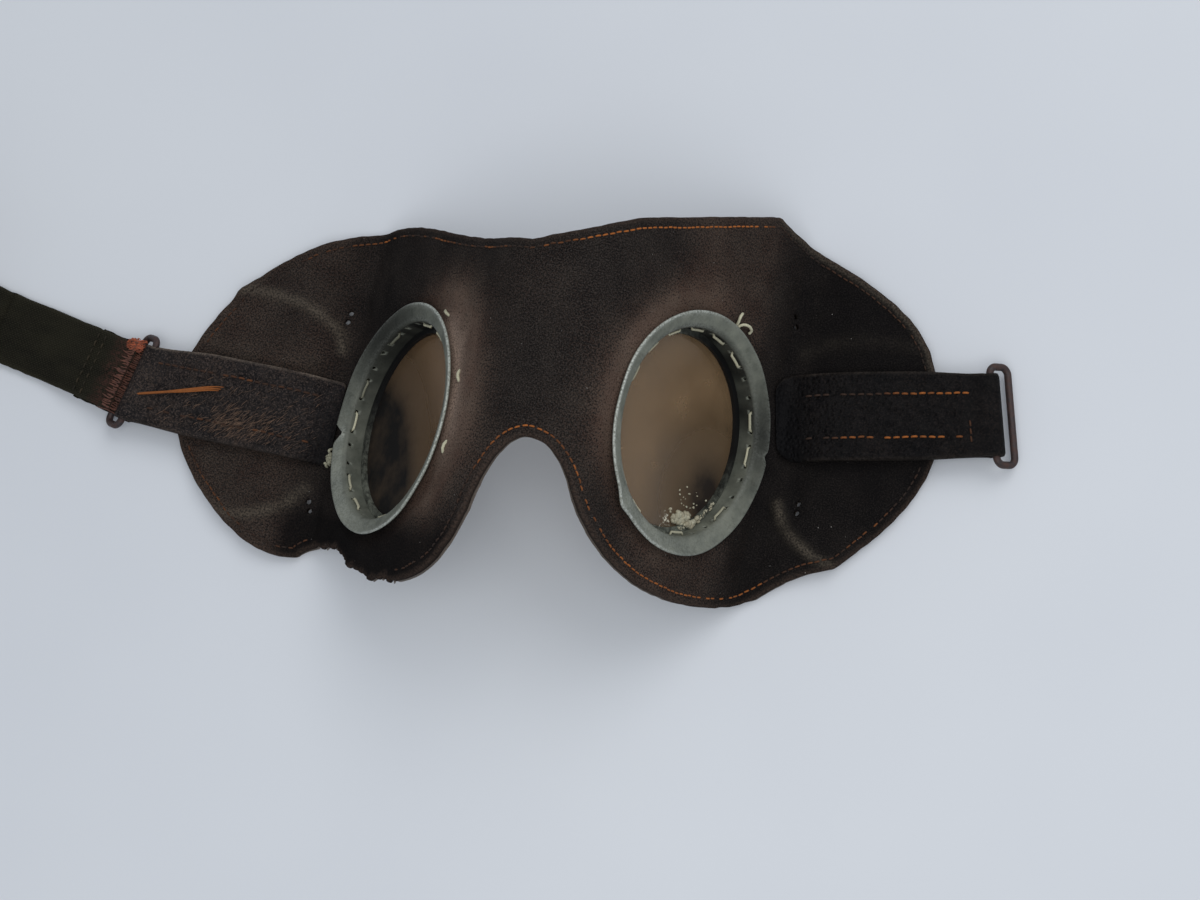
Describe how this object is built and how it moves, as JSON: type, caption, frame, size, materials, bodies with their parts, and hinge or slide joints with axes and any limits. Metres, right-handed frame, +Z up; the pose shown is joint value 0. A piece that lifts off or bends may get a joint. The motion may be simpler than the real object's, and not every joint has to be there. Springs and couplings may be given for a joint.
{
  "type": "motorcycle goggles",
  "caption": "Folding leather-mask goggles with round amber glasses in sewn metal rings, strap tabs with wire loops and an elastic head strap.",
  "frame": {"origin": "centre of the underside of the goggles' own box, without the free strap, on the surface they lie on", "axes": "+Z up out of the front, +Y to the brow, +X across the mask to the end whose wire loop is empty"},
  "size_m": [0.3214, 0.0958, 0.0607],
  "materials": {
    "mask_leather": "dark brown napped leather, worn reddish by the rings",
    "lining_felt": "thin brown felt",
    "orange_thread": "waxed orange-brown thread",
    "ring_paint": "dull grey-green paint, rubbed bright on its rim",
    "cream_thread": "cream hand-sewing thread",
    "gasket_fibre": "perished fibre",
    "amber_glass": "amber-brown flat glass",
    "retaining_steel": "dull grey steel",
    "tab_leather": "black pebbled leather",
    "rusty_wire": "dark rusted wire",
    "elastic_web": "olive-brown woven elastic",
    "strand_rubber": "red-brown rubber thread",
    "strap_thread": "brown thread"
  },
  "bodies": {
    "left_half": {"left_mask_leather": "mask_leather", "left_mask_lining": "lining_felt", "left_edge_stitching": "orange_thread", "left_lens_ring": "ring_paint", "left_ring_thread": "cream_thread", "left_lens_gasket": "gasket_fibre", "left_lens": "amber_glass", "left_retaining_ring": "retaining_steel", "left_strap_tab": "tab_leather", "left_tab_stitching": "orange_thread"},
    "right_half": {"right_mask_leather": "mask_leather", "right_mask_lining": "lining_felt", "right_edge_stitching": "orange_thread", "right_lens_ring": "ring_paint", "right_ring_thread": "cream_thread", "right_lens_gasket": "gasket_fibre", "right_lens": "amber_glass", "right_retaining_ring": "retaining_steel", "right_strap_tab": "tab_leather", "right_tab_stitching": "orange_thread"},
    "left_loop": {"left_wire_loop": "rusty_wire"},
    "right_loop": {"right_wire_loop": "rusty_wire"},
    "strap": {"strap_fold": "elastic_web", "strap_rubber_strands": "strand_rubber", "strap_stitching": "strap_thread", "strap_band": "elastic_web", "strap_roll": "elastic_web"}
  },
  "joints": [
    {"name": "bridge_fold", "type": "hinge", "parent": "left_half", "child": "right_half", "pos_m": [0.01024, -0.00793, 0.05868], "axis": [0.1478, 0.989, 0], "range_deg": [-40, 30]},
    {"name": "left_loop_swivel", "type": "hinge", "parent": "left_half", "child": "left_loop", "pos_m": [-0.10063, 0.00104, 0.00609], "axis": [0.342, 0.9397, 0], "range_deg": [-30, 60]},
    {"name": "right_loop_swivel", "type": "hinge", "parent": "right_half", "child": "right_loop", "pos_m": [0.11277, 0.00324, 0.00609], "axis": [0.1219, -0.9925, 0], "range_deg": [-40, 100]},
    {"name": "strap_swing", "type": "hinge", "parent": "left_loop", "child": "strap", "pos_m": [-0.1048, 0.00256, 0.00284], "axis": [0.342, 0.9397, 0], "range_deg": [-25, 60]}
  ]
}
